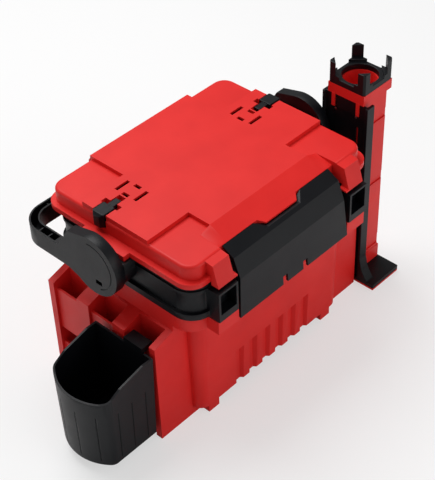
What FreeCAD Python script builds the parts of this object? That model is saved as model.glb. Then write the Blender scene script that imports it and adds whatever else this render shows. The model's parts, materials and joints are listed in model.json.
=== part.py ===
import FreeCAD
import Part
import Sketcher
import math
import os
import re

# Fishing seat box: a tub with accessory sockets, a hinged tray, a lid that is the seat,
# a front latch, a swinging carry handle, a hooked-on cup holder and a hooked-on rod stand.
# Millimetres. Z is up, the front is -Y, and Z = 0 is the floor that the box stands on.
# Outlines are measured from the middle of the tub. The Frame sizes then move every body, so that
# the origin is the floor point under the middle of the whole part.

document = FreeCAD.newDocument("SeatBox")
Vector = FreeCAD.Vector

SIZES = {
    "Frame": {
        "shift_x": 16.89,
        "shift_y": 6.3,
    },
    "Tub": {
        "floor_gap": 13.5,
        "floor_thick": 4,
        "wall": 3.2,
        "tub_half": 131,
        "tub_front": -105.6,
        "tub_back": 100,
        "tub_corner": 14,
        "tub_draft": 1.2,
        "collar_low": 168,
        "collar_top": 189.6,
        "collar_half": 155,
        "collar_front": -123,
        "collar_back": 104,
        "collar_corner": 28,
        "block_half": 131,
        "block_front": -141,
        "block_back": -128,
        "block_top": 187,
        "lug_place": 18,
        "lug_thick": 5,
        "lug_round": 3.6,
    },
    "Feet": {
        "foot_in": 98,
        "foot_out": 116,
        "foot_front": -104.2,
        "foot_long": 20,
    },
    "Flutes": {
        "flute_pitch": 24.4,
        "flute_count": 6,
        "flute_wide": 15,
        "flute_deep": 5,
        "flute_top": 76,
        "flute_slope": -38,
        "flute_backing": 4,
    },
    "Sockets": {
        "socket_out": 185.4,
        "socket_half": 91,
        "socket_top": 151,
        "ledge_top": 160,
        "column_pitch": 61,
        "column_half": 20.5,
        "well_in": 158,
        "plate_out": 181.4,
        "plate_thick": 3,
        "plate_top": 140,
        "window_low": 51,
        "window_top": 76,
        "rib_core": 7,
    },
    "Tray": {
        "tray_low": 190,
        "tray_top": 239.6,
        "tray_half": 153.5,
        "tray_front": -124,
        "tray_back": 101,
        "tray_corner": 26,
        "flange_half": 157.5,
        "flange_front": -128,
        "flange_back": 105,
        "flange_corner": 29,
        "flange_high": 8.5,
        "bead_low": 226,
        "bead_high": 5,
        "bead_out": 2,
        "tray_wall": 3,
        "tray_floor": 3,
        "bay_half": 98.5,
        "bay_front": -117,
        "frame_in": 99.5,
        "frame_out": 131,
        "frame_front": -143,
        "frame_low": 188,
        "frame_top": 230.4,
        "frame_wall": 3,
        "frame_sill": 8,
        "frame_window_deep": 15,
        "divider_place": 50,
        "divider_thick": 2,
        "divider_high": 36,
    },
    "Handle pivots": {
        "hub_y": 0,
        "hub_z": 228,
        "boss_radius": 37,
        "boss_out": 171.6,
        "washer_out": 173.4,
        "pin_radius": 9,
        "pin_out": 184,
        "pin_in": 151.5,
        "running_gap": 0.05,
        "washer_gap": 0.3,
    },
    "Lid": {
        "lid_low": 240,
        "lip_high": 7,
        "lip_half": 158,
        "lip_front": -128,
        "lip_back": 114,
        "lip_corner": 22,
        "pad_half": 151,
        "pad_front": -121,
        "pad_back": 109.5,
        "pad_corner": 18,
        "pad_top": 266,
        "pad_round": 4,
        "seat_top": 271.6,
        "seat_half": 149.6,
        "seat_arm_front": -54,
        "seat_arm_back": 52,
        "seat_mid_half": 84,
        "seat_mid_front": -87.3,
        "seat_mid_back": 112.8,
        "slope_half": 99,
        "slope_front": -112.6,
        "slope_low": 260.5,
        "lid_wall": 3,
        "lid_hollow": 251,
        "horn_in": 101,
        "horn_out": 127,
        "horn_nose": -131,
        "horn_top": 263.3,
        "horn_front": -139.5,
        "horn_low": 234.5,
        "tab_out": 167.5,
        "tab_front": -32,
        "tab_back": 41,
        "slot_place": 98.6,
        "slot_y": 22.8,
        "slot_gap": 31,
        "slot_long": 21,
        "slot_wide": 5,
        "small_slot_gap": 19.6,
        "small_slot_long": 10,
    },
    "Latch": {
        "latch_half": 92,
        "latch_low_half": 96.5,
        "latch_thick": 3,
        "latch_pin_y": -137.2,
        "latch_pin_z": 178,
        "latch_pin_radius": 2,
        "scoop_half": 28,
        "scoop_run": 16,
        "notch_half": 4,
        "notch_high": 13,
    },
    "Handle": {
        "hub_radius": 40,
        "hub_in": 174,
        "hub_out": 187.8,
        "arm_low": 203,
        "arm_top": 228,
        "bar_in": 119.4,
        "bar_out": 130.5,
        "bar_corner": 34,
        "arm_skin": 2.2,
        "arm_rib": 1.8,
        "arm_rib_pitch": 36,
        "channel_start": 66,
        "groove_radius": 31,
        "groove_wide": 1.2,
        "groove_deep": 0.8,
    },
    "Handle stops": {
        "stop_y": 22.8,
        "stop_half": 9,
        "stop_in": 134,
        "stop_out": 155.5,
        "stop_low": 254,
        "stop_top": 272.6,
        "stop_cut": 4,
        "rail_in": 119,
        "rail_half": 4.5,
        "stop_gap": 0.4,
    },
    "Hinges": {
        "hinge_y": 109.2,
        "tray_hinge_z": 186,
        "lid_hinge_z": 235,
        "knuckle_radius": 4.6,
        "hinge_pin_radius": 2,
        "hinge_place": 70,
        "knuckle_long": 16,
        "knuckle_gap": 0.5,
    },
    "Cup holder": {
        "cup_back": -189.2,
        "cup_centre": -213.7,
        "cup_bow": 66.3,
        "cup_left": 3.6,
        "cup_right": -91,
        "cup_top": 141.5,
        "cup_rim": 120,
        "cup_low": 15.5,
        "cup_lean": 2.4,
        "cup_wall": 2.6,
        "cup_corner": 11,
    },
    "Hooks": {
        "hook_half": 15,
        "hook_top": 149,
        "hook_arm": 8,
        "hook_gap": 0.6,
        "hook_tongue": 3,
        "hook_deep": 26,
    },
    "Rod stand": {
        "rod_y": -61,
        "rod_in": 193.6,
        "rod_out": 242,
        "rod_half": 26,
        "rod_low": 30,
        "rod_top": 300,
        "rod_collar": 286,
        "rod_bore": 22,
        "rod_chamfer": 3,
        "rod_band_deep": 1.6,
        "rod_tab_wide": 5,
        "rod_tab_low": 268,
        "bracket_in": 188.4,
        "bracket_plate": 191.2,
        "rail_out": 35.6,
        "rail_deep": 14,
        "rail_thick": 4,
        "bracket_top": 285,
        "foot_plate_front": -121,
        "foot_plate_out": 243.5,
        "foot_plate_top": 9.2,
        "sole_top": 3,
        "screw_half": 16,
        "screw_first": 40,
        "screw_pitch": 112,
        "screw_radius": 1.6,
        "screw_deep": 5,
        "crown_middle": 217.8,
        "crown_top": 308,
        "prong_top": 330,
        "prong_foot": 312,
        "crown_half": 28,
        "crown_cut": 2.5,
        "crown_bore": 23.2,
        "prong_edge": 17,
        "prong_flare": 11,
    },
}


def write_sheet():
    """Put every driving size in the sheet, one row each, under its own alias."""
    table = document.addObject("Spreadsheet::Sheet", "Sizes")
    row = 1
    for group, entries in SIZES.items():
        table.set("A%d" % row, group)
        row += 1
        for alias, number in entries.items():
            table.set("A%d" % row, alias.replace("_", " "))
            table.set("B%d" % row, str(number))
            table.setAlias("B%d" % row, alias)
            row += 1
    document.recompute()
    return table


sheet = write_sheet()
ALIASES = {alias for entries in SIZES.values() for alias in entries}


def size(alias):
    """The number that the sheet holds under an alias."""
    return float(sheet.get(alias))


def bound(formula):
    """A formula in aliases, as an expression that reads the sheet."""
    def qualify(word):
        name = word.group(0)
        return "Sizes." + name if name in ALIASES else name
    return re.sub(r"[a-z][a-z_]*", qualify, str(formula))


class Piece:
    """One physical piece, built as a body from outlines whose points are bound to the sheet."""

    NORMALS = {"XY": "XY_Plane", "XZ": "XZ_Plane", "YZ": "YZ_Plane"}

    def __init__(self, label):
        self.body = document.addObject("PartDesign::Body", label)
        self.body.Label = label
        self.body.setExpression("Placement.Base.x", bound("shift_x"))
        self.body.setExpression("Placement.Base.y", bound("shift_y"))
        self.number = 0

    def _name(self, kind):
        self.number += 1
        return "%s_%s_%d" % (self.body.Name, kind, self.number)

    def _sketch(self, plane, level):
        """A sketch on an origin plane, moved along its normal: +Z, -Y or +X."""
        sketch = self.body.newObject("Sketcher::SketchObject", self._name("sketch"))
        role = self.NORMALS[plane]
        origin = [part for part in self.body.Origin.OriginFeatures if part.Role == role][0]
        sketch.AttachmentSupport = (origin, [""])
        sketch.MapMode = "FlatFace"
        sketch.setExpression("AttachmentOffset.Base.z", bound(level))
        return sketch

    def _pin_point(self, sketch, index, place, point, start):
        """Hold one sketch point at two bound coordinates."""
        for kind, formula, value in zip(("DistanceX", "DistanceY"), point, start):
            row = sketch.addConstraint(Sketcher.Constraint(kind, -1, 1, index, place, value))
            sketch.setExpression("Constraints[%d]" % row, bound(formula))

    def outline(self, plane, level, *loops):
        """A sketch of closed outlines with straight sides."""
        sketch = self._sketch(plane, level)
        for points in loops:
            first = sketch.GeometryCount
            count = len(points)
            turn = 2 * math.pi / count
            start = [(10 * math.cos(k * turn) + 11, 10 * math.sin(k * turn) + 11) for k in range(count)]
            for k in range(count):
                ends = [Vector(*start[k], 0), Vector(*start[(k + 1) % count], 0)]
                sketch.addGeometry(Part.LineSegment(*ends))
            for k in range(count):
                after = first + (k + 1) % count
                sketch.addConstraint(Sketcher.Constraint("Coincident", first + k, 2, after, 1))
            for k in range(count):
                self._pin_point(sketch, first + k, 1, points[k], start[k])
        return sketch

    def rounded(self, plane, level, limits, radius):
        """A sketch of a rectangle with rounded corners, from its low and high limits."""
        sketch = self._sketch(plane, level)
        x_low, x_high, y_low, y_high = limits
        corners = [("%s + (%s)" % (x_low, radius), "%s + (%s)" % (y_low, radius), 10, 10, 180),
                   ("%s - (%s)" % (x_high, radius), "%s + (%s)" % (y_low, radius), 30, 10, 270),
                   ("%s - (%s)" % (x_high, radius), "%s - (%s)" % (y_high, radius), 30, 30, 0),
                   ("%s + (%s)" % (x_low, radius), "%s - (%s)" % (y_high, radius), 10, 30, 90)]
        for across, up, x, y, turn in corners:
            circle = Part.Circle(Vector(x, y, 0), Vector(0, 0, 1), 5)
            sketch.addGeometry(Part.ArcOfCircle(circle, math.radians(turn), math.radians(turn + 90)))
        for k, ends in enumerate([((10, 5), (30, 5)), ((35, 10), (35, 30)), ((30, 35), (10, 35)), ((5, 30), (5, 10))]):
            sketch.addGeometry(Part.LineSegment(Vector(*ends[0], 0), Vector(*ends[1], 0)))
            sketch.addConstraint(Sketcher.Constraint("Tangent", k, 2, k + 4, 1))
            sketch.addConstraint(Sketcher.Constraint("Tangent", k + 4, 2, (k + 1) % 4, 1))
        for k, (across, up, x, y, turn) in enumerate(corners):
            self._pin_point(sketch, k, 3, (across, up), (x, y))
            row = sketch.addConstraint(Sketcher.Constraint("Radius", k, 5))
            sketch.setExpression("Constraints[%d]" % row, bound(radius))
        return sketch

    def bowed(self, level, back, centre, low, high, bow, corner, start):
        """A plan with a straight back and sides and a front that bows toward -X, with rounded corners."""
        sketch = self._sketch("XY", level)
        x_back, x_centre, y_low, y_high, wide, small = start
        middle, half = (y_low + y_high) / 2, (y_high - y_low) / 2
        run = math.sqrt((wide - small) ** 2 - (half - small) ** 2)
        lean = math.degrees(math.atan2(half - small, run))
        x_turn = x_centre - run
        arcs = [(x_turn, y_high - small, small, 90, 180 - lean), (x_centre, middle, wide, 180 - lean, 180 + lean),
                (x_turn, y_low + small, small, 180 + lean, 270)]
        for x, y, radius, first, last in arcs:
            circle = Part.Circle(Vector(x, y, 0), Vector(0, 0, 1), radius)
            sketch.addGeometry(Part.ArcOfCircle(circle, math.radians(first), math.radians(last)))
        ends = [(x_turn, y_low), (x_back, y_low), (x_back, y_high), (x_turn, y_high)]
        for here, there in zip(ends, ends[1:]):
            sketch.addGeometry(Part.LineSegment(Vector(*here, 0), Vector(*there, 0)))
        for here, there in ((0, 1), (1, 2), (2, 3), (5, 0)):
            sketch.addConstraint(Sketcher.Constraint("Tangent", here, 2, there, 1))
        for here, there in ((3, 4), (4, 5)):
            sketch.addConstraint(Sketcher.Constraint("Coincident", here, 2, there, 1))
        for line in (3, 5):
            sketch.addConstraint(Sketcher.Constraint("Horizontal", line))
        self._pin_point(sketch, 4, 1, (back, low), (x_back, y_low))
        self._pin_point(sketch, 4, 2, (back, high), (x_back, y_high))
        self._pin_point(sketch, 1, 3, (centre, "(%s + %s) / 2" % (low, high)), (x_centre, middle))
        for index, radius, value in ((0, corner, small), (1, bow, wide), (2, corner, small)):
            row = sketch.addConstraint(Sketcher.Constraint("Radius", index, value))
            sketch.setExpression("Constraints[%d]" % row, bound(radius))
        return sketch

    def loft(self, kind, first, *others):
        """A straight-sided loft from one sketch to the next, added or cut away."""
        feature = self.body.newObject("PartDesign::" + kind, self._name(kind.lower()))
        feature.Profile = first
        feature.Sections = list(others)
        feature.Ruled = True
        return feature

    def circles(self, plane, level, *rings):
        """A sketch of circles, each given as a centre and a radius."""
        sketch = self._sketch(plane, level)
        for across, up, radius in rings:
            index = sketch.GeometryCount
            sketch.addGeometry(Part.Circle(Vector(5, 5, 0), Vector(0, 0, 1), 3))
            self._pin_point(sketch, index, 3, (across, up), (5, 5))
            row = sketch.addConstraint(Sketcher.Constraint("Radius", index, 3))
            sketch.setExpression("Constraints[%d]" % row, bound(radius))
        return sketch

    def _extrude(self, kind, sketch, length, taper, flip, both):
        feature = self.body.newObject("PartDesign::" + kind, self._name(kind.lower()))
        feature.Profile = sketch
        feature.Reversed = flip
        if both:
            feature.SideType = "Symmetric"
        feature.setExpression("Length", bound(length))
        if taper:
            feature.setExpression("TaperAngle", bound(taper))
        return feature

    def pad(self, sketch, length, taper=None, flip=False, both=False):
        return self._extrude("Pad", sketch, length, taper, flip, both)

    def pocket(self, sketch, length, taper=None, flip=False, both=False):
        return self._extrude("Pocket", sketch, length, taper, flip, both)

    def dress(self, kind, amount, chosen):
        """Round or chamfer the chosen edges of the piece so far."""
        document.recompute()
        before = self.body.Tip
        if not before.Shape.isValid() or "Invalid" in before.State:
            raise RuntimeError("bad shape before rounding: " + before.Name)
        edges = before.Shape.Edges
        names = ["Edge%d" % (k + 1) for k, edge in enumerate(edges) if chosen(edge)]
        if not names:
            raise RuntimeError("no edge chosen on " + self.body.Name)
        feature = self.body.newObject("PartDesign::" + kind, self._name(kind.lower()))
        feature.Base = (before, names)
        prop = "Radius" if kind == "Fillet" else "Size"
        feature.setExpression(prop, bound(amount))
        return feature

    def round(self, radius, chosen):
        return self.dress("Fillet", radius, chosen)

    def chamfer(self, amount, chosen):
        return self.dress("Chamfer", amount, chosen)


def box(x_low, x_high, y_low, y_high):
    """The four corners of a rectangle."""
    return [(x_low, y_low), (x_high, y_low), (x_high, y_high), (x_low, y_high)]


def along(axis, **limits):
    """Choose straight edges along an axis by the ranges of their middles; side is |x|, depth is |y|."""
    def chosen(edge):
        ends = edge.Vertexes
        if len(ends) < 2:
            return False
        run = ends[1].Point - ends[0].Point
        if abs(getattr(run, axis)) < 0.99 * edge.Length:
            return False
        middle = edge.CenterOfMass
        place = {"x": middle.x, "y": middle.y, "z": middle.z, "side": abs(middle.x), "depth": abs(middle.y)}
        return all(low <= place[name] <= high for name, (low, high) in limits.items())
    return chosen


def lying_at(height):
    """Choose every edge that lies at one height."""
    def chosen(edge):
        limits = edge.BoundBox
        return max(abs(limits.ZMin - height), abs(limits.ZMax - height)) < 0.05
    return chosen


def make_tub():
    """The red tub: drafted lower body, wide collar, side socket blocks, front block and feet."""
    tub = Piece("body_tub")
    plan = ("-tub_half", "tub_half", "tub_front", "tub_back")
    tub.pad(tub.rounded("XY", "floor_gap", plan, "tub_corner"), "collar_low - floor_gap + 2", "tub_draft")
    faces = [[
        (side + "120", "0"),
        (side + "socket_out", "0"),
        (side + "socket_out", "socket_top"),
        (side + "collar_half", "ledge_top"),
        (side + "collar_half", "collar_low + 2"),
        (side + "120", "collar_low + 2"),
    ] for side in ("-", "")]
    tub.pad(tub.outline("XZ", "0", *faces), "2 * socket_half", both=True)
    rim = ("-collar_half", "collar_half", "collar_front", "collar_back")
    tub.pad(tub.rounded("XY", "collar_low", rim, "collar_corner"), "collar_top - collar_low")
    blocks = [box(side + "(frame_in - 1)", side + "block_half", "block_front", "collar_front + 1")
              for side in ("-", "")]
    tub.pad(tub.outline("XY", "collar_low", *blocks), "block_top - collar_low")
    middle = box("-frame_in", "frame_in", "block_back", "collar_front + 1")
    tub.pad(tub.outline("XY", "collar_low", middle), "block_top - collar_low")
    feet = [box(side + "foot_in", side + "foot_out", front, back) for side in ("-", "")
            for front, back in (("foot_front", "foot_front + foot_long"), ("tub_back - foot_long", "tub_back - 1"))]
    tub.pad(tub.outline("XY", "0", *feet), "floor_gap + 2")
    hollow_tub(tub)
    cut_flutes(tub)
    cut_sockets(tub)
    add_latch_lugs(tub)
    add_tub_knuckles(tub)
    return tub


def hollow_tub(tub):
    """The store space: wide where the collar and the socket blocks leave room."""
    floor = "floor_gap + floor_thick"
    narrow = ("-tub_half + wall", "tub_half - wall", "tub_front + wall", "tub_back - wall")
    tub.pocket(tub.rounded("XY", "collar_top", narrow, "tub_corner - wall"), "collar_top - (%s)" % floor)
    wide = box("-collar_half + wall", "collar_half - wall", "-socket_half + wall", "socket_half - wall")
    tub.pocket(tub.outline("XY", "collar_top", wide), "collar_top - (%s)" % floor)
    rim = ("-collar_half + wall", "collar_half - wall", "collar_front + wall", "collar_back - wall")
    tub.pocket(tub.rounded("XY", "collar_top", rim, "collar_corner - wall"), "collar_top - collar_low - wall")
    under = [box(side + "(tub_half - 8)", side + "(well_in - wall)", "-socket_half + wall", "socket_half - wall")
             for side in ("-", "")]
    tub.pocket(tub.outline("XY", "-1", *under), "floor_gap + 1", flip=True)
    ribs = [box(side + "(well_in + wall)", side + "(socket_out - wall)", middle + " - rib_core", middle + " + rib_core")
            for side in ("-", "") for middle in ("-column_pitch / 2", "column_pitch / 2")]
    tub.pocket(tub.outline("XY", "-1", *ribs), "socket_top - wall + 1", flip=True)


def cut_flutes(tub):
    """Six trapezoid flutes in the front, open at the bottom, with sloped sides and tops."""
    count = int(size("flute_count"))
    backing = box("-%d * flute_pitch / 2" % count, "%d * flute_pitch / 2" % count,
                  "tub_front + wall - 1", "tub_front + wall + flute_backing")
    tub.pad(tub.outline("XY", "floor_gap + floor_thick - 1", backing), "flute_top - floor_gap")
    loops = []
    for index in range(count):
        middle = "(%g) * flute_pitch" % (index - (count - 1) / 2)
        loops.append(box(middle + " - flute_wide / 2", middle + " + flute_wide / 2", "floor_gap - 12", "flute_top"))
    tub.pocket(tub.outline("XZ", "-tub_front + 1.2", *loops), "flute_deep", "flute_slope")


def cut_sockets(tub):
    """Three columns a side: a top well, a set-back plate, and a window into the well."""
    middles = ["(%d) * column_pitch" % row for row in (-1, 0, 1)]
    spans = [(middle + " - column_half", middle + " + column_half") for middle in middles]
    wells = [box(side + "well_in", side + "(plate_out - plate_thick)", low, high)
             for side in ("-", "") for low, high in spans]
    tub.pocket(tub.outline("XY", "ledge_top + 1", *wells), "ledge_top + 5")
    for side in ("-", ""):
        fronts = [box(low, high, "-1", "socket_top + 20") for low, high in spans]
        level = side + "(socket_out + 1)"
        tub.pocket(tub.outline("YZ", level, *fronts), "socket_out + 1 - plate_out", flip=side == "-")
        gaps = [box(low, high, bottom, top) for low, high in spans
                for bottom, top in (("plate_top", "socket_top + 20"), ("window_low", "window_top"))]
        level = side + "(plate_out + 1)"
        tub.pocket(tub.outline("YZ", level, *gaps), "plate_thick + 2", flip=side == "-")


def add_latch_lugs(tub):
    """Two lugs and two ends that hold the latch pin in front of the collar."""
    for place in ("-lug_place", "lug_place"):
        level = "%s - lug_thick / 2" % place
        arm = box("block_back + 1", "latch_pin_y", "latch_pin_z - lug_round", "latch_pin_z + lug_round")
        tub.pad(tub.outline("YZ", level, arm), "lug_thick")
        tub.pad(tub.circles("YZ", level, ("latch_pin_y", "latch_pin_z", "lug_round")), "lug_thick")
    hole = tub.circles("YZ", "-lug_place - 10", ("latch_pin_y", "latch_pin_z", "latch_pin_radius"))
    tub.pocket(hole, "2 * lug_place + 20", flip=True)


def add_knuckles(piece, axis_z, wall_y, places, web_low, web_high):
    """Round hinge knuckles on webs, with a pin bore through them all."""
    for place in places:
        level = "%s - knuckle_long / 2" % place
        piece.pad(piece.circles("YZ", level, ("hinge_y", axis_z, "knuckle_radius")), "knuckle_long")
        piece.pad(piece.outline("YZ", level, box(wall_y, "hinge_y", web_low, web_high)), "knuckle_long")


def add_tub_knuckles(tub):
    """The tub's half of the rear hinge, outside the tray's knuckles."""
    places = [side + "(hinge_place + (%d) * (knuckle_long + knuckle_gap))" % step
              for side in ("-", "") for step in (-1, 1)]
    add_knuckles(tub, "tray_hinge_z", "collar_back - 1", places,
                 "tray_hinge_z - knuckle_radius", "tray_hinge_z")
    bore_knuckles(tub, "tray_hinge_z")


def bore_knuckles(piece, axis_z, radius="hinge_pin_radius"):
    """The pin bore through the left and right hinge groups."""
    for side in ("-", ""):
        level = side + "hinge_place - 1.5 * (knuckle_long + knuckle_gap) - 1"
        ring = piece.circles("YZ", level, ("hinge_y", axis_z, radius))
        piece.pocket(ring, "3 * (knuckle_long + knuckle_gap) + 2", flip=True)


def make_tray():
    """The black middle tier: a banded tray with latch frames, pivot bosses and hinge knuckles."""
    tray = Piece("tray")
    band = ("-tray_half", "tray_half", "tray_front", "tray_back")
    tray.pad(tray.rounded("XY", "tray_low", band, "tray_corner"), "tray_top - tray_low")
    flange = ("-flange_half", "flange_half", "flange_front", "flange_back")
    tray.pad(tray.rounded("XY", "tray_low", flange, "flange_corner"), "flange_high")
    bead = ("-tray_half - bead_out", "tray_half + bead_out", "tray_front - bead_out", "tray_back + bead_out")
    tray.pad(tray.rounded("XY", "bead_low", bead, "tray_corner + bead_out"), "bead_high")
    for side in ("-", ""):
        frame = box(side + "frame_in", side + "frame_out", "frame_front", "tray_front + 1")
        tray.pad(tray.outline("XY", "frame_low", frame), "frame_top - frame_low")
        boss = tray.circles("YZ", side + "(tray_half - 1)", ("hub_y", "hub_z", "boss_radius"))
        tray.pad(boss, "boss_out - tray_half + 1", flip=side == "-")
        trim = box(side + "(tray_half - 2)", side + "(boss_out + 1)", "-boss_radius - 1", "boss_radius + 1")
        tray.pocket(tray.outline("XY", "hub_z + boss_radius + 1", trim), "hub_z + boss_radius + 1 - tray_top")
    bay = box("-bay_half", "bay_half", "flange_front - 2", "bay_front")
    tray.pocket(tray.outline("XY", "tray_top + 1", bay), "tray_top - tray_low + 2")
    inside = ("-tray_half + tray_wall", "tray_half - tray_wall", "tray_front + tray_wall", "tray_back - tray_wall")
    store = tray.rounded("XY", "tray_top", inside, "tray_corner - tray_wall")
    tray.pocket(store, "tray_top - tray_low - tray_floor")
    ends = [box(side + "bay_half", side + "(bay_half + tray_wall)", "tray_front + 1", "bay_front + tray_wall")
            for side in ("-", "")]
    tray.pad(tray.outline("XY", "tray_low", *ends), "tray_top - tray_low")
    wall = box("-bay_half - 1", "bay_half + 1", "bay_front", "bay_front + tray_wall")
    tray.pad(tray.outline("XY", "tray_low", wall), "tray_top - tray_low")
    for side in ("-", ""):
        window = box(side + "(frame_in + frame_wall)", side + "(frame_out - frame_wall)",
                     "tray_low + frame_sill", "frame_top - frame_wall")
        tray.pocket(tray.outline("XZ", "-frame_front + 1", window), "frame_window_deep")
        bore = tray.circles("YZ", side + "(boss_out + 1)", ("hub_y", "hub_z", "pin_radius"))
        tray.pocket(bore, "boss_out + 1 - pin_in", flip=side == "-")
    add_knuckles(tray, "tray_hinge_z", "hinge_y - 3", ["-hinge_place", "hinge_place"],
                 "tray_hinge_z", "tray_low + 3")
    for side in ("-", ""):
        shelf = box(side + "hinge_place - knuckle_long / 2", side + "hinge_place + knuckle_long / 2",
                    "flange_back - 2", "hinge_y + knuckle_radius")
        tray.pad(tray.outline("XY", "tray_low + 1", shelf), "4")
    bore_knuckles(tray, "tray_hinge_z", "hinge_pin_radius + running_gap")
    places = [side + "(hinge_place + (%d) * (knuckle_long + knuckle_gap))" % step
              for side in ("-", "") for step in (-1, 1)]
    add_knuckles(tray, "lid_hinge_z", "tray_back - 1", places,
                 "lid_hinge_z - knuckle_radius", "lid_hinge_z")
    bore_knuckles(tray, "lid_hinge_z")
    return tray


def make_dividers():
    """Two loose cross walls that part the tray."""
    dividers = Piece("tray_dividers")
    for side in ("-", ""):
        wall = box(side + "divider_place - divider_thick / 2", side + "divider_place + divider_thick / 2",
                   "bay_front + tray_wall + 0.5", "tray_back - tray_wall - 0.5")
        dividers.pad(dividers.outline("XY", "tray_low + tray_floor", wall), "divider_high")
    return dividers


def make_lid():
    """The red lid, which is the seat: lip, raised pads, seat plateau, front horns and side tabs."""
    lid = Piece("lid")
    lip = ("-lip_half", "lip_half", "lip_front", "lip_back")
    lid.pad(lid.rounded("XY", "lid_low", lip, "lip_corner"), "lip_high")
    pad = ("-pad_half", "pad_half", "pad_front", "pad_back")
    lid.pad(lid.rounded("XY", "lid_low", pad, "pad_corner"), "pad_top - lid_low")
    lid.round("pad_round", lying_at(size("pad_top")))
    seat = [
        ("-seat_mid_half", "seat_mid_front"),
        ("seat_mid_half", "seat_mid_front"),
        ("seat_mid_half", "seat_arm_front"),
        ("seat_half", "seat_arm_front"),
        ("seat_half", "seat_arm_back"),
        ("seat_mid_half", "seat_arm_back"),
        ("seat_mid_half", "pad_back"),
        ("-seat_mid_half", "pad_back"),
        ("-seat_mid_half", "seat_arm_back"),
        ("-seat_half", "seat_arm_back"),
        ("-seat_half", "seat_arm_front"),
        ("-seat_mid_half", "seat_arm_front"),
    ]
    lid.pad(lid.outline("XY", "pad_top - 1", seat), "seat_top - pad_top + 1")
    tail = [("pad_back - 2", "lid_low"), ("seat_mid_back", "lid_low + 4"),
            ("seat_mid_back", "seat_top - 8"), ("seat_mid_back - 6", "seat_top"), ("pad_back - 2", "seat_top")]
    lid.pad(lid.outline("YZ", "0", tail), "2 * seat_mid_half", both=True)
    for side in ("-", ""):
        horn = [("horn_front", "horn_low"), ("horn_nose", "horn_top"), ("slope_front", "pad_top - 0.1"),
                ("slope_front", "lid_low"), ("lip_front", "lid_low"), ("lip_front", "horn_low")]
        lid.pad(lid.outline("YZ", side + "(horn_in - 5)", horn), "horn_out - horn_in + 5", flip=side == "-")
        tab = box(side + "(lip_half - 2)", side + "tab_out", "tab_front", "tab_back")
        lid.pad(lid.outline("XY", "lid_low", tab), "lip_high")
    slope_lid(lid)
    hollow_lid(lid)
    cut_lid_slots(lid)
    add_lid_knuckles(lid)
    return lid


def slope_lid(lid):
    """The sloped front between the horns, behind the latch, which ends at the pad's level on both sides."""
    recess = [("seat_mid_front", "seat_top + 1"), ("seat_mid_front", "pad_top"), ("slope_front", "slope_low"),
              ("slope_front", "lid_low - 1"), ("-160", "lid_low - 6"), ("-160", "seat_top + 1")]
    lid.pocket(lid.outline("YZ", "0", recess), "2 * horn_in", both=True)
    foot = "slope_low - 3"
    tall = [("seat_mid_front", foot), ("seat_mid_front", "seat_top"), ("slope_front", "slope_low"),
            ("slope_front", foot)]
    short = [("seat_mid_front", foot), ("seat_mid_front", "pad_top"), ("slope_front", "slope_low"),
             ("slope_front", foot)]
    lid.pad(lid.outline("YZ", "0", tall), "2 * seat_mid_half", both=True)
    for side in ("-", ""):
        inner = lid.outline("YZ", side + "seat_mid_half", tall)
        lid.loft("AdditiveLoft", inner, lid.outline("YZ", side + "slope_half", short))


def hollow_lid(lid):
    """The shell's underside: one skin thick, with solid blocks only round the handle stops."""
    skin = "lid_wall"
    front, back = "slope_front + lid_wall", "pad_back - lid_wall"
    wide = ("-pad_half + lid_wall", "pad_half - lid_wall", front, back)
    lid.pocket(lid.rounded("XY", "lid_low", wide, "pad_corner - lid_wall"), "lid_hollow - lid_low", flip=True)
    rim = "seat_mid_front + lid_wall"
    steps = [("horn_in - 5", front, rim, "slope_low - 2 - " + skin),
             ("rail_in - 8.5", rim, back, "pad_top - " + skin),
             ("seat_mid_half - " + skin, rim, back, "seat_top - " + skin),
             ("rail_in - 8.5", "seat_arm_front + " + skin, "seat_arm_back - " + skin, "seat_top - " + skin)]
    for half, low, high, top in steps:
        plan = box("-(%s)" % half, half, low, high)
        lid.pocket(lid.outline("XY", "lid_low", plan), "%s - lid_low" % top, flip=True)
    block = "stop_half + 5.8"
    for low, high in ((rim, "stop_y - (%s)" % block), ("stop_y + " + block, back + " - pad_corner")):
        plans = [box(side + "(rail_in - 10)", side + "(pad_half - 4)", low, high) for side in ("-", "")]
        lid.pocket(lid.outline("XY", "lid_low", *plans), "pad_top - lid_wall - lid_low", flip=True)
    horns = [box(side + "(horn_in + lid_wall)", side + "(horn_out - lid_wall)", "lip_front", "slope_front - 2")
             for side in ("-", "")]
    lid.pocket(lid.outline("XY", "horn_low - 1", *horns), "slope_low - horn_low - 3", flip=True)


def cut_lid_slots(lid):
    """Two long and two short slots at each end, and the notch that the handle stop slides in."""
    loops = []
    for side in (-1, 1):
        centre = "(%d) * slot_place" % side
        for step in (-1, 1):
            row = "slot_y + (%g) * slot_gap" % (step / 2)
            loops.append(box(centre + " - slot_long / 2", centre + " + slot_long / 2",
                             row + " - slot_wide / 2", row + " + slot_wide / 2"))
            column = centre + " + (%g) * small_slot_gap" % (step / 2)
            loops.append(box(column + " - slot_wide / 2", column + " + slot_wide / 2",
                             "slot_y - small_slot_long / 2", "slot_y + small_slot_long / 2"))
    lid.pocket(lid.outline("XY", "seat_top + 1", *loops), "5")
    for side in ("-", ""):
        notch = box(side + "stop_in - (%s stop_gap)" % side, side + "(lip_half + 12)",
                    "stop_y - stop_half - 1.5", "stop_y + stop_half + 1.5")
        lid.pocket(lid.outline("XY", "seat_top + 1", notch), "seat_top + 1 - stop_low + stop_gap")
        for near, far, half in (("rail_in - 6", "stop_in + 1", "rail_half + 1"),
                                ("stop_in - 7", "stop_in + 1", "stop_half + 4.5")):
            plan = box(side + "(%s)" % near, side + "(%s)" % far, "stop_y - %s" % half.replace("+", "-"), "stop_y + " + half)
            lid.pocket(lid.outline("XY", "seat_top + 1", plan), "8.4")


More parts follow.
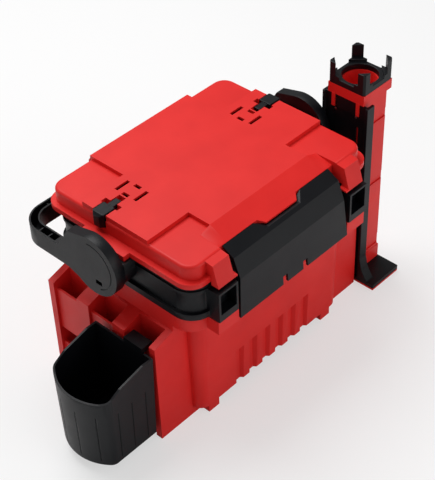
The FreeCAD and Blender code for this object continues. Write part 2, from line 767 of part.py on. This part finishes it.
def add_lid_knuckles(lid):
    """The lid's middle knuckles, which hang from its rear tail."""
    for side in ("-", ""):
        level = side + "hinge_place - knuckle_long / 2"
        lid.pad(lid.circles("YZ", level, ("hinge_y", "lid_hinge_z", "knuckle_radius")), "knuckle_long")
        web = box("hinge_y - knuckle_radius", "hinge_y + 3.5", "lid_hinge_z", "lid_low + 8")
        lid.pad(lid.outline("YZ", level, web), "knuckle_long")
    bore_knuckles(lid, "lid_hinge_z", "hinge_pin_radius + running_gap")


def make_hinge_pins(label, axis_z):
    """A left and a right hinge pin at one height."""
    pins = Piece(label)
    for side in ("-", ""):
        level = side + "hinge_place - 1.5 * knuckle_long - knuckle_gap"
        ring = pins.circles("YZ", level, ("hinge_y", axis_z, "hinge_pin_radius"))
        pins.pad(ring, "3 * knuckle_long + 2 * knuckle_gap")
    return pins


def latch_profile():
    """The latch's section: a hooked top, three outer facets and an even wall behind them."""
    outer = [("-113.3", "260.4"), ("-130", "251"), ("-139.5", "226"), ("-143.1", "171.3")]
    inner = [("-140", "171.3"), ("-136.4", "225"), ("-127.6", "248.6"), ("-114.6", "256.6")]
    return outer + inner


def make_latch():
    """The black front latch, hinged at its lower edge, with a scooped top edge and two notches."""
    latch = Piece("front_latch")
    latch.pad(latch.outline("YZ", "0", latch_profile()), "2 * latch_low_half", both=True)
    for side in ("-", ""):
        trim = [(side + "(latch_low_half + 5)", "150"), (side + "latch_low_half", "171"),
                (side + "latch_half", "226"), (side + "latch_half", "275"), (side + "(latch_low_half + 5)", "275")]
        latch.pocket(latch.outline("XZ", "100", trim), "60", flip=True)
    scoop = [("-scoop_half - scoop_run", "262"), ("-scoop_half", "253.8"), ("scoop_half", "253.8"),
             ("scoop_half + scoop_run", "262")]
    latch.pocket(latch.outline("XZ", "105", scoop), "20", flip=True)
    notches = [box(place + " - notch_half", place + " + notch_half", "168", "latch_pin_z + 5")
               for place in ("-lug_place", "lug_place")]
    latch.pocket(latch.outline("XZ", "130", *notches), "20", flip=True)
    for place in ("-lug_place - 12", "-lug_place + 12", "lug_place - 12", "lug_place + 12"):
        ear = box("latch_pin_y - 3", "latch_pin_y + 3", "latch_pin_z - 4", "latch_pin_z + 6")
        latch.pad(latch.outline("YZ", "%s - 3" % place, ear), "6")
    bore = latch.circles("YZ", "-lug_place - 20", ("latch_pin_y", "latch_pin_z", "latch_pin_radius + running_gap"))
    latch.pocket(bore, "2 * lug_place + 40", flip=True)
    return latch


def make_latch_pin():
    """One long pin through the tub's lugs and the latch's ears."""
    pin = Piece("latch_pin")
    ring = pin.circles("YZ", "-lug_place - 16", ("latch_pin_y", "latch_pin_z", "latch_pin_radius"))
    pin.pad(ring, "2 * lug_place + 32")
    return pin


def make_handle():
    """The swinging bail: two hub plates, two arms and a channelled bar behind the box."""
    handle = Piece("carry_handle")
    far = "bar_out - bar_in"
    outer = ("-hub_out", "hub_out", "-bar_out", "bar_out")
    handle.pad(handle.rounded("XY", "arm_low", outer, "bar_corner"), "arm_top - arm_low")
    front = box("-hub_out - 1", "hub_out + 1", "-bar_out - 1", "20")
    handle.pocket(handle.outline("XY", "arm_top + 1", front), "arm_top - arm_low + 2")
    trough = ("-hub_out + arm_skin", "hub_out - arm_skin", "-bar_out", "bar_out - arm_skin")
    handle.pocket(handle.rounded("XY", "arm_top", trough, "bar_corner - arm_skin"), "arm_top - arm_low - arm_skin")
    solid = box("-hub_out + 1", "hub_out - 1", "20", "channel_start")
    handle.pad(handle.outline("XY", "arm_low", solid), "arm_top - arm_low")
    ribs = [box("(%d) * arm_rib_pitch - arm_rib / 2" % step, "(%d) * arm_rib_pitch + arm_rib / 2" % step,
                "bar_in - 2", "bar_out - 1") for step in range(-4, 5)]
    ribs += [box("-hub_out + 1", "hub_out - 1", "channel_start + %d - arm_rib / 2" % run,
                 "channel_start + %d + arm_rib / 2" % run) for run in (14, 30)]
    handle.pad(handle.outline("XY", "arm_low + 1", *ribs), "arm_top - arm_low - 4")
    ring = ("-hub_in - arm_skin", "hub_in + arm_skin", "-bar_in", "bar_in + arm_skin")
    inner_round = "bar_corner - (%s)" % far
    wall = handle.rounded("XY", "arm_low", ring, inner_round + " + arm_skin")
    handle.pad(wall, "arm_top - arm_low")
    inside = ("-hub_in", "hub_in", "-2 * bar_in", "bar_in")
    handle.pocket(handle.rounded("XY", "arm_top + 1", inside, inner_round), "arm_top - arm_low + 2")
    again = box("-hub_out - 1", "hub_out + 1", "-2 * bar_in", "20")
    handle.pocket(handle.outline("XY", "arm_top + 1", again), "arm_top - arm_low + 2")
    for side in ("-", ""):
        hub = handle.circles("YZ", side + "hub_in", ("hub_y", "hub_z", "hub_radius"))
        handle.pad(hub, "hub_out - hub_in", flip=side == "-")
        shoulder = [("0", "hub_z + hub_radius"), ("10", "266.7"), ("38", "259.5"), ("46", "246"),
                    ("58", "arm_top"), ("64", "arm_top"), ("75", "arm_low"), ("52", "206"), ("25", "196.8"), ("0", "200")]
        handle.pad(handle.outline("YZ", side + "hub_in", shoulder), "hub_out - hub_in", flip=side == "-")
        bore = handle.circles("YZ", side + "(hub_in - 1)", ("hub_y", "hub_z", "pin_radius + running_gap"))
        handle.pocket(bore, "pin_out - hub_in + 1.4", flip=side == "")
        release = box("hub_y - 14", "hub_y - 4", "hub_z - 23", "hub_z - 17")
        groove = ring_sector("groove_radius", "groove_wide", 80, 250, 17)
        face = handle.outline("YZ", side + "(hub_out + 1)", groove)
        handle.pocket(face, "groove_deep + 1", flip=side == "-")
        handle.pocket(handle.outline("YZ", side + "(hub_out + 1)", release), "6", flip=side == "-")
    return handle


def ring_sector(radius, width, first, last, steps):
    """A narrow arc round the hub, as one closed outline between two angles."""
    turns = [math.radians(first + (last - first) * step / steps) for step in range(steps + 1)]
    loop = []
    for sign, order in (("-", turns), ("+", turns[::-1])):
        reach = "(%s %s %s / 2)" % (radius, sign, width)
        loop += [("hub_y + (%.4f) * %s" % (math.cos(turn), reach), "hub_z + (%.4f) * %s" % (math.sin(turn), reach))
                 for turn in order]
    return loop


def make_pivot_pin(label, side):
    """A fixed axle that stands out of a tray boss into the handle's hub."""
    pin = Piece(label)
    ring = pin.circles("YZ", side + "pin_in", ("hub_y", "hub_z", "pin_radius"))
    pin.pad(ring, "pin_out - pin_in", flip=side == "-")
    return pin


def make_washer(label, side):
    """The flat washer between a tray boss and the handle's hub."""
    washer = Piece(label)
    disc = washer.circles("YZ", side + "boss_out", ("hub_y", "hub_z", "2 * pin_radius"),
                          ("hub_y", "hub_z", "pin_radius + washer_gap"))
    washer.pad(disc, "washer_out - boss_out", flip=side == "-")
    return washer


def make_handle_stop(label, side):
    """A black catch that slides out of the lid's end under the raised handle."""
    stop = Piece(label)
    block = box(side + "stop_in", side + "stop_out", "stop_y - stop_half", "stop_y + stop_half")
    stop.pad(stop.outline("XY", "stop_low", block), "stop_top - stop_low")
    stop.chamfer("stop_cut", along("z", side=(size("stop_out") - 1, 400)))
    stop.chamfer("stop_cut - 1", along("y", z=(size("stop_top") - 1, 400), side=(size("stop_out") - 1, 400)))
    rail = box(side + "rail_in", side + "(stop_in + 1)", "stop_y - rail_half", "stop_y + rail_half")
    stop.pad(stop.outline("XY", "seat_top - 7", rail), "6.6")
    return stop


def add_hook(piece, side, start, row, top):
    """An arm over a socket plate with a tongue that drops into the well behind it."""
    low, high = row + " - hook_half", row + " + hook_half"
    arm = box(side + "(plate_out - plate_thick - hook_gap - hook_tongue)", start, low, high)
    piece.pad(piece.outline("XY", "plate_top + hook_gap", arm), "hook_arm")
    tongue = box(side + "(plate_out - plate_thick - hook_gap - hook_tongue)",
                 side + "(plate_out - plate_thick - hook_gap)", low, high)
    piece.pad(piece.outline("XY", "plate_top - hook_deep", tongue), "hook_deep + hook_gap + 1")


def make_cup_holder():
    """The black cup holder: a tapered pocket with a dipped rim and a hook on its back."""
    cup = Piece("cup_holder")

    def plan(level, inset, corner):
        """The cup's outline at one height, drawn in by an inset."""
        walls = [("cup_wall", size("cup_wall")), ("cup_lean", size("cup_lean"))]
        shift = sum(value * inset.count(name) for name, value in walls)
        start = (size("cup_back") - shift, size("cup_centre"), size("cup_right") + shift, size("cup_left") - shift,
                 size("cup_bow") - shift, size("cup_corner"))
        return cup.bowed(level, "cup_back - (%s)" % inset, "cup_centre", "cup_right + (%s)" % inset,
                         "cup_left - (%s)" % inset, "cup_bow - (%s)" % inset, corner, start)

    cup.loft("AdditiveLoft", plan("cup_top", "0", "cup_corner"), plan("cup_low", "cup_lean", "cup_corner"))
    cup.loft("SubtractiveLoft", plan("cup_top", "cup_wall", "cup_corner - cup_wall"),
             plan("cup_low + cup_wall", "cup_wall + cup_lean", "cup_corner - cup_wall"))
    rim = [("-300", "cup_rim"), ("-266", "cup_rim"), ("-255", "125"), ("-242", "132.5"), ("-226", "136.5"),
           ("-205", "cup_top"), ("-205", "cup_top + 10"), ("-300", "cup_top + 10")]
    cup.pocket(cup.outline("XZ", "0", rim), "300", both=True)
    riser = box("cup_back - cup_wall", "cup_back", "-column_pitch - hook_half", "-column_pitch + hook_half")
    cup.pad(cup.outline("XY", "cup_top - 12", riser), "hook_top - cup_top + 12")
    add_hook(cup, "-", "cup_back - 1", "-column_pitch", "hook_top")
    return cup


def make_rod_tube():
    """The red square rod tube with chamfered outer corners, a collar and a round bore."""
    tube = Piece("rod_tube")
    plan = box("rod_in", "rod_out", "rod_y - rod_half", "rod_y + rod_half")
    tube.pad(tube.outline("XY", "rod_low", plan), "rod_top - rod_low")
    tube.chamfer("rod_chamfer", along("z", x=(size("rod_out") - 1, 400)))
    collar = box("crown_middle - crown_half", "crown_middle + crown_half", "rod_y - crown_half", "rod_y + crown_half")
    tube.pad(tube.outline("XY", "rod_collar", collar), "rod_top - rod_collar")
    tabs = [box("bracket_plate - 2", "bracket_plate - 0.2", middle + " - rod_tab_wide / 2", middle + " + rod_tab_wide / 2")
            for middle in ("rod_y - 19", "rod_y + 19")]
    tube.pad(tube.outline("XY", "rod_tab_low", *tabs), "rod_collar - rod_tab_low + 1")
    bands = [(35, 52), (146, 159), (246, 259)]
    cuts = [box("rod_in - 5", "rod_out + 5", low, high) for low, high in bands]
    tube.pocket(tube.outline("XZ", "-rod_y + rod_half + 1", *cuts), "rod_band_deep + 1")
    bore = tube.circles("XY", "rod_top", ("crown_middle", "rod_y", "rod_bore"))
    tube.pocket(bore, "rod_top - rod_low - 4")
    tube.pocket(tube.circles("YZ", "rod_in - 1", *screw_rings()), "screw_deep + 1", flip=True)
    return tube


def make_crown():
    """The black crown: an eight-sided ring with a round mouth and four corner prongs."""
    crown = Piece("rod_crown")
    middle = "crown_middle"
    turns = [(1, -1), (1, 1), (-1, 1), (-1, -1)]
    ring = []
    for a, b in turns:
        near, far = "(crown_half - crown_cut)", "crown_half"
        pair = [("%s + (%d) * %s" % (middle, a, near), "rod_y + (%d) * %s" % (b, far)),
                ("%s + (%d) * %s" % (middle, a, far), "rod_y + (%d) * %s" % (b, near))]
        ring += pair if a * b < 0 else pair[::-1]
    crown.pad(crown.outline("XY", "rod_top", ring), "crown_top - rod_top")
    for edge, top in (("prong_flare", "prong_foot"), ("prong_edge", "prong_top")):
        steps = [("crown_half", edge), ("crown_half", "(crown_half - crown_cut)"),
                 ("(crown_half - crown_cut)", "crown_half"), (edge, "crown_half")]
        prongs = [[("%s + (%d) * %s" % (middle, a, x), "rod_y + (%d) * %s" % (b, y)) for x, y in steps]
                  for a, b in turns]
        crown.pad(crown.outline("XY", "crown_top - 1", *prongs), "%s - crown_top + 1" % top)
    mouth = crown.circles("XY", "prong_top + 1", (middle, "rod_y", "crown_bore"))
    crown.pocket(mouth, "prong_top - rod_top + 2")
    return crown


def screw_rings():
    """The places of the bracket screws on the tube's inner face."""
    return [("rod_y + (%d) * screw_half" % across, "screw_first + (%d) * screw_pitch" % step, "screw_radius")
            for step in (0, 1, 2) for across in (-1, 1)]


def make_bracket():
    """The black bracket: a tall channel behind the tube, a foot plate and a socket hook."""
    bracket = Piece("rod_bracket")
    plate = box("bracket_plate", "rod_in", "rod_y - rail_out", "rod_y + rail_out")
    bracket.pad(bracket.outline("XY", "sole_top", plate), "bracket_top - sole_top")
    for side in ("-", ""):
        rail = box("bracket_in", "bracket_in + rail_deep", "rod_y %s rail_out" % (side or "+"),
                   "rod_y %s (rail_out - rail_thick)" % (side or "+"))
        bracket.pad(bracket.outline("XY", "sole_top", rail), "bracket_top - sole_top")
    foot = box("bracket_in", "foot_plate_out", "foot_plate_front", "rod_y + rail_out")
    bracket.pad(bracket.outline("XY", "sole_top", foot), "foot_plate_top - sole_top")
    seat = box("rod_in - 1", "rod_out", "rod_y - rod_half", "rod_y + rod_half")
    bracket.pad(bracket.outline("XY", "sole_top", seat), "rod_low - sole_top")
    gusset = [("rod_y - rail_out + 1", "foot_plate_top - 1"), ("rod_y - rail_out - 14", "foot_plate_top - 1"),
              ("rod_y - rail_out - 4", "24"), ("rod_y - rail_out + 1", "46")]
    bracket.pad(bracket.outline("YZ", "bracket_in", gusset), "rail_deep")
    add_hook(bracket, "", "bracket_plate + 1", "-column_pitch", "hook_top")
    slot = box("rod_y - 20", "rod_y - 16.5", "196", "250")
    holes = bracket.circles("YZ", "bracket_plate - 1", *screw_rings())
    bracket.pocket(holes, "rod_in - bracket_plate + 2", flip=True)
    bracket.pocket(bracket.outline("YZ", "bracket_plate - 1", slot), "rod_in - bracket_plate + 2", flip=True)
    return bracket


def make_sole():
    """The red sole under the foot plate."""
    sole = Piece("bracket_sole")
    plan = box("bracket_in", "foot_plate_out", "foot_plate_front", "rod_y + rail_out")
    sole.pad(sole.outline("XY", "0", plan), "sole_top")
    return sole


def make_bracket_screws():
    """Screws that hold the tube to the bracket's back plate."""
    screws = Piece("bracket_screws")
    for ring in screw_rings():
        screws.pad(screws.circles("YZ", "bracket_plate", ring), "rod_in - bracket_plate + screw_deep")
    return screws


make_tub()
make_tray()
make_dividers()
make_lid()
make_hinge_pins("tray_hinge_pins", "tray_hinge_z")
make_hinge_pins("lid_hinge_pins", "lid_hinge_z")
make_latch()
make_latch_pin()
make_handle()
make_pivot_pin("handle_pivot_left", "-")
make_pivot_pin("handle_pivot_right", "")
make_washer("handle_washer_left", "-")
make_washer("handle_washer_right", "")
make_handle_stop("handle_stop_left", "-")
make_handle_stop("handle_stop_right", "")
make_cup_holder()
make_rod_tube()
make_crown()
make_bracket()
make_sole()
make_bracket_screws()

document.recompute()
for item in document.Objects:
    if "Invalid" in item.State or "Error" in item.State:
        raise RuntimeError("failed object: " + item.Name)
os.makedirs("parts", exist_ok=True)
for body in [item for item in document.Objects if item.TypeId == "PartDesign::Body"]:
    shape = body.Shape
    if shape.isNull() or not shape.isValid():
        raise RuntimeError("bad shape: " + body.Label)
    shape.exportStep("parts/%s.step" % body.Label)
    print(body.Label, len(shape.Solids), round(shape.Volume / 1000, 1), "cm3")
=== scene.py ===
import json
import math

import bmesh
import bpy
from mathutils import Matrix, Vector


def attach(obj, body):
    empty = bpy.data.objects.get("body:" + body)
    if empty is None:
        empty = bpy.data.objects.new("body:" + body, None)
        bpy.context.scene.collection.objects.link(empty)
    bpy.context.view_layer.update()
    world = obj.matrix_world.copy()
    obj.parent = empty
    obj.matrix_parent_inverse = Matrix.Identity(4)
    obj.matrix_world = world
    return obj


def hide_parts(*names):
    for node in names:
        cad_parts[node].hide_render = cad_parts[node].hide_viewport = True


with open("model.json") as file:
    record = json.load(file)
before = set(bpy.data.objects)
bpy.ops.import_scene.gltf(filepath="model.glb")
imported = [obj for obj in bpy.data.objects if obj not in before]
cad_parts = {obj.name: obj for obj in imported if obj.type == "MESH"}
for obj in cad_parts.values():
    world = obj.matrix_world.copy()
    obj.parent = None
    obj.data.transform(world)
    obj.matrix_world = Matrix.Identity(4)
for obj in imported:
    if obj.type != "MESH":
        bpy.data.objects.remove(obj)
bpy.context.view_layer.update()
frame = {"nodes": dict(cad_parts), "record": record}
nodes = frame["nodes"]


# Materials

def new_material(name):
    """A node material with its shader, ready for links."""
    material = bpy.data.materials.new(name)
    material.use_nodes = True
    shader = material.node_tree.nodes["Principled BSDF"]
    return material, material.node_tree, shader


def noise(tree, scale, detail, rough=0.5):
    """A noise texture that reads the piece's own coordinates, in metres."""
    coordinates = tree.nodes.new("ShaderNodeTexCoord")
    texture = tree.nodes.new("ShaderNodeTexNoise")
    texture.inputs["Scale"].default_value = scale
    texture.inputs["Detail"].default_value = detail
    texture.inputs["Roughness"].default_value = rough
    tree.links.new(coordinates.outputs["Object"], texture.inputs["Vector"])
    return texture


def ramp(tree, source, stops):
    """A colour ramp with the given stops, fed by a texture's value."""
    node = tree.nodes.new("ShaderNodeValToRGB")
    points = node.color_ramp.elements
    while len(points) < len(stops):
        points.new(0.5)
    for point, (place, colour) in zip(points, stops):
        point.position = place
        point.color = (*colour, 1)
    tree.links.new(source, node.inputs["Fac"])
    return node


CLOUD_SCALE = 18
GLOSS_SCALE = 55
GRAIN_DEPTH = 0.0002


def worked_surface(name, shades, roughness, grain_scale, grain_lift):
    """A surface with faintly clouded colour, uneven gloss and a fine grain."""
    material, tree, shader = new_material(name)
    dark, light = shades
    cloud = noise(tree, CLOUD_SCALE, 3)
    colour = ramp(tree, cloud.outputs["Fac"], [(0.3, dark), (0.7, light)])
    tree.links.new(colour.outputs["Color"], shader.inputs["Base Color"])
    gloss = noise(tree, GLOSS_SCALE, 2)
    spread = tree.nodes.new("ShaderNodeMapRange")
    spread.inputs["To Min"].default_value, spread.inputs["To Max"].default_value = roughness
    tree.links.new(gloss.outputs["Fac"], spread.inputs["Value"])
    tree.links.new(spread.outputs["Result"], shader.inputs["Roughness"])
    pits = noise(tree, grain_scale, 2)
    bump = tree.nodes.new("ShaderNodeBump")
    bump.inputs["Strength"].default_value = grain_lift
    bump.inputs["Distance"].default_value = GRAIN_DEPTH
    tree.links.new(pits.outputs["Fac"], bump.inputs["Height"])
    tree.links.new(bump.outputs["Normal"], shader.inputs["Normal"])
    return material, shader


def moulded_plastic(name, shades, roughness, grain_scale, grain_lift, shine):
    """Injection-moulded plastic with an eroded mould's grain and a low shine."""
    material, shader = worked_surface(name, shades, roughness, grain_scale, grain_lift)
    shader.inputs["Specular IOR Level"].default_value = shine
    return material


def plated_steel(name, shades, roughness, grain_scale, grain_lift):
    """Zinc-plated steel for pins and screws."""
    material, shader = worked_surface(name, shades, roughness, grain_scale, grain_lift)
    shader.inputs["Metallic"].default_value = 1
    return material


RED_SHADES = (0.68, 0.014, 0.012), (0.75, 0.019, 0.016)
BLACK_SHADES = (0.002, 0.0024, 0.0038), (0.0036, 0.0042, 0.006)
STEEL_SHADES = (0.42, 0.42, 0.44), (0.52, 0.52, 0.54)
FINISHES = {
    "red_plastic": moulded_plastic("red_moulded_plastic", RED_SHADES, (0.38, 0.52), 1800, 0.2, 0.26),
    "black_plastic": moulded_plastic("black_moulded_plastic", BLACK_SHADES, (0.36, 0.48), 1500, 0.3, 0.24),
    "steel": plated_steel("zinc_plated_steel", STEEL_SHADES, (0.3, 0.42), 900, 0.1),
}


# Mould edges on the solids, in metres

SOFT_EDGE = 0.0006
SMALL_EDGE = 0.00025
SAME_POINT = 0.00001
SHARP = math.radians(34)
FINE_NODES = ("latch_pin", "tray_hinge_pins", "lid_hinge_pins", "bracket_screws", "handle_washer_left",
              "handle_washer_right", "tray_dividers")


def round_edges(piece, width, sharp):
    """A small rounding on every edge that turns more than an angle."""
    edge = piece.modifiers.new("mould_edge", "BEVEL")
    edge.width = width
    edge.segments = 2
    edge.limit_method = "ANGLE"
    edge.angle_limit = sharp


for entry in frame["record"]["subparts"]:
    node = nodes[entry["node"]]
    node.data.materials.clear()
    node.data.materials.append(FINISHES[entry["material_slot"]])
    weld = node.modifiers.new("join", "WELD")
    weld.merge_threshold = SAME_POINT
    round_edges(node, SMALL_EDGE if entry["node"] in FINE_NODES else SOFT_EDGE, SHARP)


# Pieces finer than the solids, in metres, placed from the middle of the tub

TUB_MIDDLE = Vector((0.01689, 0.0063, 0))
UPRIGHT = Vector((0, 0, 1))
CUP_AXIS = Vector((-0.2137, -0.0437, 0)) + TUB_MIDDLE
CUP_BOTTOM = 0.0155
CUP_BOTTOM_ROUND = 0.004
CUP_EDGE = 0.0004
CUP_SHARP = math.radians(65)
WALL_SLOPE = 0.4
GROOVE_LEVELS = (0.021, 0.023, 0.097, 0.099)
GROOVE_HALF = 0.0008
GROOVE_DEEP = 0.001
FRONT_GROOVE_TURNS = (-42, -18, 6, 30)
SIDE_GROOVE_PLACES = (-0.2475, -0.226, -0.2045)


def new_piece(name, form, body, slot):
    """A finished mesh that rides on a body and takes one of the record's finishes."""
    mesh = bpy.data.meshes.new(name)
    form.to_mesh(mesh)
    form.free()
    mesh.materials.append(FINISHES[slot])
    piece = bpy.data.objects.new(name, mesh)
    bpy.context.collection.objects.link(piece)
    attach(piece, body)
    return piece


def bevel_edges(form, edges, width, segments):
    """A bevel of an even width along the given edges."""
    bmesh.ops.bevel(form, geom=edges, offset=width, offset_type="OFFSET", segments=segments, profile=0.5,
                    affect="EDGES", material=-1, clamp_overlap=True)


def is_wall(face):
    """Whether a face of the cup stands nearly upright."""
    return abs(face.normal.z) < WALL_SLOPE


def outer_faces(form, outward):
    """The cup's outer wall faces that look along a direction, without its back."""
    chosen = []
    for face in form.faces:
        if is_wall(face) and face.normal.dot(outward) > 0.35 and face.normal.x < 0.5:
            away = face.calc_center_median() - CUP_AXIS
            if away.x * face.normal.x + away.y * face.normal.y > 0:
                chosen.append(face)
    return chosen


def cut_faces(form, faces, place, across):
    """New edges where a plane crosses the chosen faces."""
    edges = {edge for face in faces for edge in face.edges}
    verts = {vert for face in faces for vert in face.verts}
    bmesh.ops.bisect_plane(form, geom=[*faces, *edges, *verts], dist=1e-6, plane_co=place, plane_no=across)


def press_groove(form, place, outward):
    """An upright V groove in the cup's wall at a place, pressed in against a direction."""
    across = outward.cross(UPRIGHT)
    for offset in (-GROOVE_HALF, 0, GROOVE_HALF):
        cut_faces(form, outer_faces(form, outward), place + across * offset, across)
    low, high = GROOVE_LEVELS[1] - SAME_POINT, GROOVE_LEVELS[2] + SAME_POINT
    for vert in {vert for face in outer_faces(form, outward) for vert in face.verts}:
        beside = abs((vert.co - place).dot(across))
        if beside < SAME_POINT and low < vert.co.z < high:
            vert.co -= outward * GROOVE_DEEP


def cup_bottom_rim(form):
    """The edges between the cup's outer wall and its bottom."""
    return [edge for edge in form.edges
            if all(abs(vert.co.z - CUP_BOTTOM) < 0.0001 for vert in edge.verts)
            and any(is_wall(face) for face in edge.link_faces)]


def grooved_cup():
    """The cup holder with its upright grooves and its rounded bottom edge."""
    form = bmesh.new()
    form.from_mesh(nodes["cup_holder"].data)
    bmesh.ops.remove_doubles(form, verts=form.verts, dist=SAME_POINT)
    bmesh.ops.dissolve_limit(form, angle_limit=0.002, verts=form.verts, edges=form.edges)
    bevel_edges(form, cup_bottom_rim(form), CUP_BOTTOM_ROUND, 4)
    form.normal_update()
    for level in GROOVE_LEVELS:
        cut_faces(form, [face for face in form.faces if is_wall(face)], UPRIGHT * level, UPRIGHT)
    for turn in FRONT_GROOVE_TURNS:
        angle = math.radians(turn)
        press_groove(form, CUP_AXIS, Vector((-math.cos(angle), -math.sin(angle), 0)))
    for side in (-1, 1):
        for along in SIDE_GROOVE_PLACES:
            press_groove(form, Vector((along, 0, 0)) + TUB_MIDDLE, Vector((0, side, 0)))
    piece = new_piece("cup_shell", form, "cup", "black_plastic")
    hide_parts("cup_holder")
    round_edges(piece, CUP_EDGE, CUP_SHARP)


def lid_tongue():
    """The red lip that carries the lid's front slope on to the latch's scoop, thinner at its front."""
    rear_half, rear_place, rear_low, rear_high = 0.034, -0.1124, 0.257, 0.2605
    front_half, front_place, front_low, front_high = 0.0265, -0.1205, 0.2552, 0.2572
    form = bmesh.new()
    bmesh.ops.create_cube(form, size=1)
    for vert in form.verts:
        side = 1 if vert.co.x > 0 else -1
        if vert.co.y < 0:
            height = front_high if vert.co.z > 0 else front_low
            vert.co = Vector((side * front_half, front_place, height)) + TUB_MIDDLE
        else:
            height = rear_high if vert.co.z > 0 else rear_low
            vert.co = Vector((side * rear_half, rear_place, height)) + TUB_MIDDLE
    new_piece("lid_tongue", form, "seat_lid", "red_plastic")


def tube_foot():
    """The tube's red lower end, down to the foot plate, round the block that carries the tube."""
    low_corner = Vector((0.1941, -0.0874, 0.0094)) + TUB_MIDDLE
    high_corner = Vector((0.2423, -0.0346, 0.0302)) + TUB_MIDDLE
    form = bmesh.new()
    bmesh.ops.create_cube(form, size=1)
    for vert in form.verts:
        for axis in range(3):
            vert.co[axis] = high_corner[axis] if vert.co[axis] > 0 else low_corner[axis]
    outer_corners = [edge for edge in form.edges
                     if all(abs(vert.co.x - high_corner.x) < SAME_POINT for vert in edge.verts)
                     and abs(edge.verts[0].co.z - edge.verts[1].co.z) > SAME_POINT]
    bevel_edges(form, outer_corners, CUP_EDGE, 1)
    new_piece("tube_foot", form, "rod_stand", "red_plastic")


grooved_cup()
lid_tongue()
tube_foot()


# Floor, backdrop and light

GROUND_SHADE = 0.9
EVEN_WHITE_SHARE = 0.55


def white_ground():
    """Part of what the camera sees of the ground is even white, and the rest keeps the object's shadow."""
    material, tree, shader = new_material("white_ground")
    shader.inputs["Base Color"].default_value = (GROUND_SHADE, GROUND_SHADE, GROUND_SHADE, 1)
    shader.inputs["Roughness"].default_value = 0.9
    glow = tree.nodes.new("ShaderNodeEmission")
    path = tree.nodes.new("ShaderNodeLightPath")
    share = tree.nodes.new("ShaderNodeMath")
    share.operation = "MULTIPLY"
    share.inputs[1].default_value = EVEN_WHITE_SHARE
    blend = tree.nodes.new("ShaderNodeMixShader")
    output = tree.nodes["Material Output"]
    tree.links.new(path.outputs["Is Camera Ray"], share.inputs[0])
    tree.links.new(share.outputs["Value"], blend.inputs["Fac"])
    tree.links.new(shader.outputs["BSDF"], blend.inputs[1])
    tree.links.new(glow.outputs["Emission"], blend.inputs[2])
    tree.links.new(blend.outputs["Shader"], output.inputs["Surface"])
    return material


floor = bmesh.new()
bmesh.ops.create_grid(floor, x_segments=1, y_segments=1, size=6)
floor_mesh = bpy.data.meshes.new("floor")
floor.to_mesh(floor_mesh)
floor.free()
floor_object = bpy.data.objects.new("floor", floor_mesh)
floor_mesh.materials.append(white_ground())
bpy.context.collection.objects.link(floor_object)

world = bpy.data.worlds.new("studio")
bpy.context.scene.world = world
world.use_nodes = True
sky = world.node_tree.nodes["Background"]
sky.inputs["Color"].default_value = (1, 1, 1, 1)
sky.inputs["Strength"].default_value = 0.33


def area_lamp(name, place, target, width, power):
    """A soft square lamp that faces a target."""
    lamp = bpy.data.lights.new(name, "AREA")
    lamp.size = width
    lamp.energy = power
    holder = bpy.data.objects.new(name, lamp)
    holder.location = place
    toward = Vector(target) - Vector(place)
    holder.rotation_euler = toward.to_track_quat("-Z", "Y").to_euler()
    bpy.context.collection.objects.link(holder)


area_lamp("key_lamp", (0.45, -2.0, 0.9), (0, 0, 0.15), 1.2, 11)
area_lamp("top_lamp", (0.1, 0.9, 2.1), (0, 0, 0.2), 1.4, 38)


# Camera at the photograph's place

LENS = 97.06
SENSOR_WIDTH = 36
CAMERA_PLACE = (-0.8515, -0.8599, 1.2)
azimuth = math.radians(-45.61)
elevation = math.radians(40.72)
tilt = math.radians(-1.73)
level_back = math.cos(elevation)
back = Vector((math.sin(azimuth) * level_back, -math.cos(azimuth) * level_back, math.sin(elevation)))
level_right = Vector((math.cos(azimuth), math.sin(azimuth), 0))
level_up = back.cross(level_right)
roll = math.asin(math.sin(tilt) / math.cos(elevation))
right = level_right * math.cos(roll) + level_up * math.sin(roll)
up = back.cross(right)
camera = bpy.data.cameras.new("camera")
camera.lens = LENS
camera.sensor_width = SENSOR_WIDTH
camera_object = bpy.data.objects.new("camera", camera)
turn = Matrix((right, up, back)).transposed().to_4x4()
camera_object.matrix_world = Matrix.Translation(CAMERA_PLACE) @ turn
bpy.context.collection.objects.link(camera_object)
bpy.context.scene.camera = camera_object
bpy.context.scene.view_settings.view_transform = "Standard"
